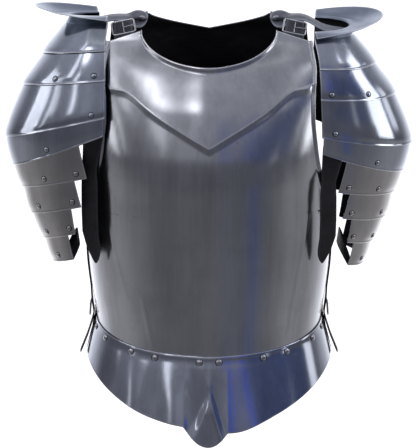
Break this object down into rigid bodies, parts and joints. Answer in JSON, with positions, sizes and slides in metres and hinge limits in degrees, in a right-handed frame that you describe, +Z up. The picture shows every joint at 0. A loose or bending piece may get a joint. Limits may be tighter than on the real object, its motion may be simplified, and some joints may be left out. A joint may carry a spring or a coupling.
{
  "type": "half armour",
  "caption": "Steel breastplate and backplate with a pointed front fauld, layered shoulder guards with raised collars, leather straps and buckles.",
  "frame": {"origin": "midway between the two shoulder straps, on their underside at the top of the shoulders, where the armour rests on the wearer", "axes": "-Y is the front, the side of the chest; +Z is up; +X is the wearer's left"},
  "size_m": [0.637, 0.337, 0.6597],
  "materials": {
    "body_steel": "dark polished steel with a faint blued tint, scratched and softly dented",
    "pale_steel": "paler, more satin polished steel",
    "black_leather": "worn black strap leather",
    "grey_leather": "worn blue-grey strap leather"
  },
  "bodies": {
    "root": {"fauld_rivet_1": "pale_steel", "fauld_rivet_2": "pale_steel", "fauld_rivet_3": "pale_steel", "fauld_rivet_4": "pale_steel", "fauld_rivet_5": "pale_steel", "fauld_rivet_6": "pale_steel", "fauld_rivet_7": "pale_steel", "fauld_rivet_8": "pale_steel", "fauld_rivet_9": "pale_steel", "fauld_rivet_10": "pale_steel", "breastplate": "body_steel", "fauld_front": "body_steel", "backplate": "body_steel", "pauldron_right_lame_1": "body_steel", "pauldron_right_lame_2": "body_steel", "pauldron_right_lame_3": "body_steel", "pauldron_right_lame_4": "body_steel", "pauldron_right_lame_5": "pale_steel", "pauldron_right_lame_6": "pale_steel", "pauldron_right_lame_7": "pale_steel", "pauldron_right_lame_8": "pale_steel", "pauldron_right_collar": "pale_steel", "pauldron_right_leather_front": "black_leather", "pauldron_right_leather_rear": "black_leather", "pauldron_right_arm_strap": "black_leather", "pauldron_right_tongue": "black_leather", "pauldron_strap_right": "grey_leather", "pauldron_strap_rivet_right": "pale_steel", "shoulder_strap_right": "grey_leather", "shoulder_buckle_right": "pale_steel", "side_strap_right": "black_leather", "side_buckle_right": "pale_steel", "pauldron_left_lame_1": "body_steel", "pauldron_left_lame_2": "body_steel", "pauldron_left_lame_3": "body_steel", "pauldron_left_lame_4": "body_steel", "pauldron_left_lame_5": "pale_steel", "pauldron_left_lame_6": "pale_steel", "pauldron_left_lame_7": "pale_steel", "pauldron_left_lame_8": "pale_steel", "pauldron_left_collar": "pale_steel", "pauldron_left_leather_front": "black_leather", "pauldron_left_leather_rear": "black_leather", "pauldron_left_arm_strap": "black_leather", "pauldron_left_tongue": "black_leather", "pauldron_strap_left": "grey_leather", "pauldron_strap_rivet_left": "pale_steel", "shoulder_strap_left": "grey_leather", "shoulder_buckle_left": "pale_steel", "side_strap_left": "black_leather", "side_buckle_left": "pale_steel"}
  },
  "joints": []
}
